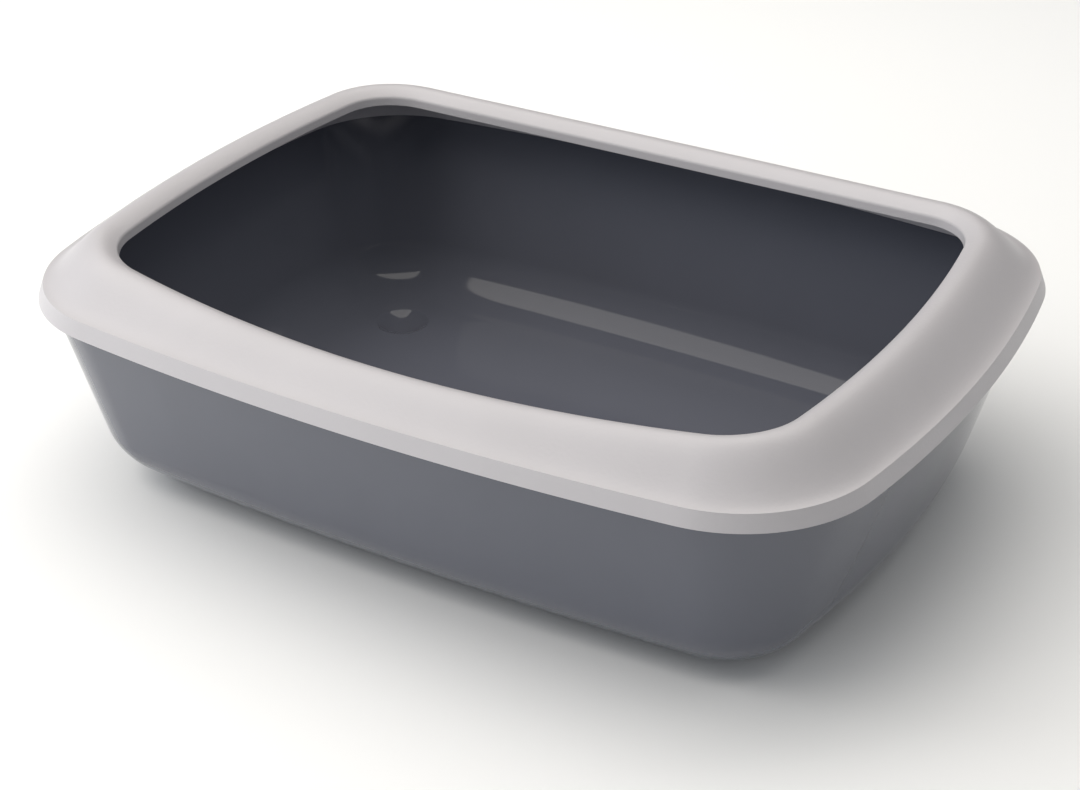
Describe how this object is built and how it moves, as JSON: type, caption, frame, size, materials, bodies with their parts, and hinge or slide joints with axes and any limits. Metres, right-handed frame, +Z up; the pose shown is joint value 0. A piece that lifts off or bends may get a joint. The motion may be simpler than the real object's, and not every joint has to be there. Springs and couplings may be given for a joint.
{
  "type": "cat litter tray",
  "caption": "Open cat litter tray: a deep round-cornered moulded pan on moulded pads, with an overhanging rim that lifts off for emptying.",
  "frame": {"origin": "on the ground under the middle of the tray", "axes": "+X along the tray's length, +Y across it, +Z up; the tray is the same at both ends and at both sides"},
  "size_m": [0.5, 0.37, 0.1433],
  "materials": {
    "pan_plastic": "dark blue-grey injection-moulded polypropylene, smooth with a soft gloss",
    "rim_plastic": "light warm grey injection-moulded polypropylene, satin"
  },
  "bodies": {
    "pan": {"pan": "pan_plastic"},
    "rim": {"rim": "rim_plastic"}
  },
  "joints": [
    {"name": "rim_lift", "type": "slide", "parent": "pan", "child": "rim", "axis": [0, 0, 1], "range_m": [0, 0.15]}
  ]
}
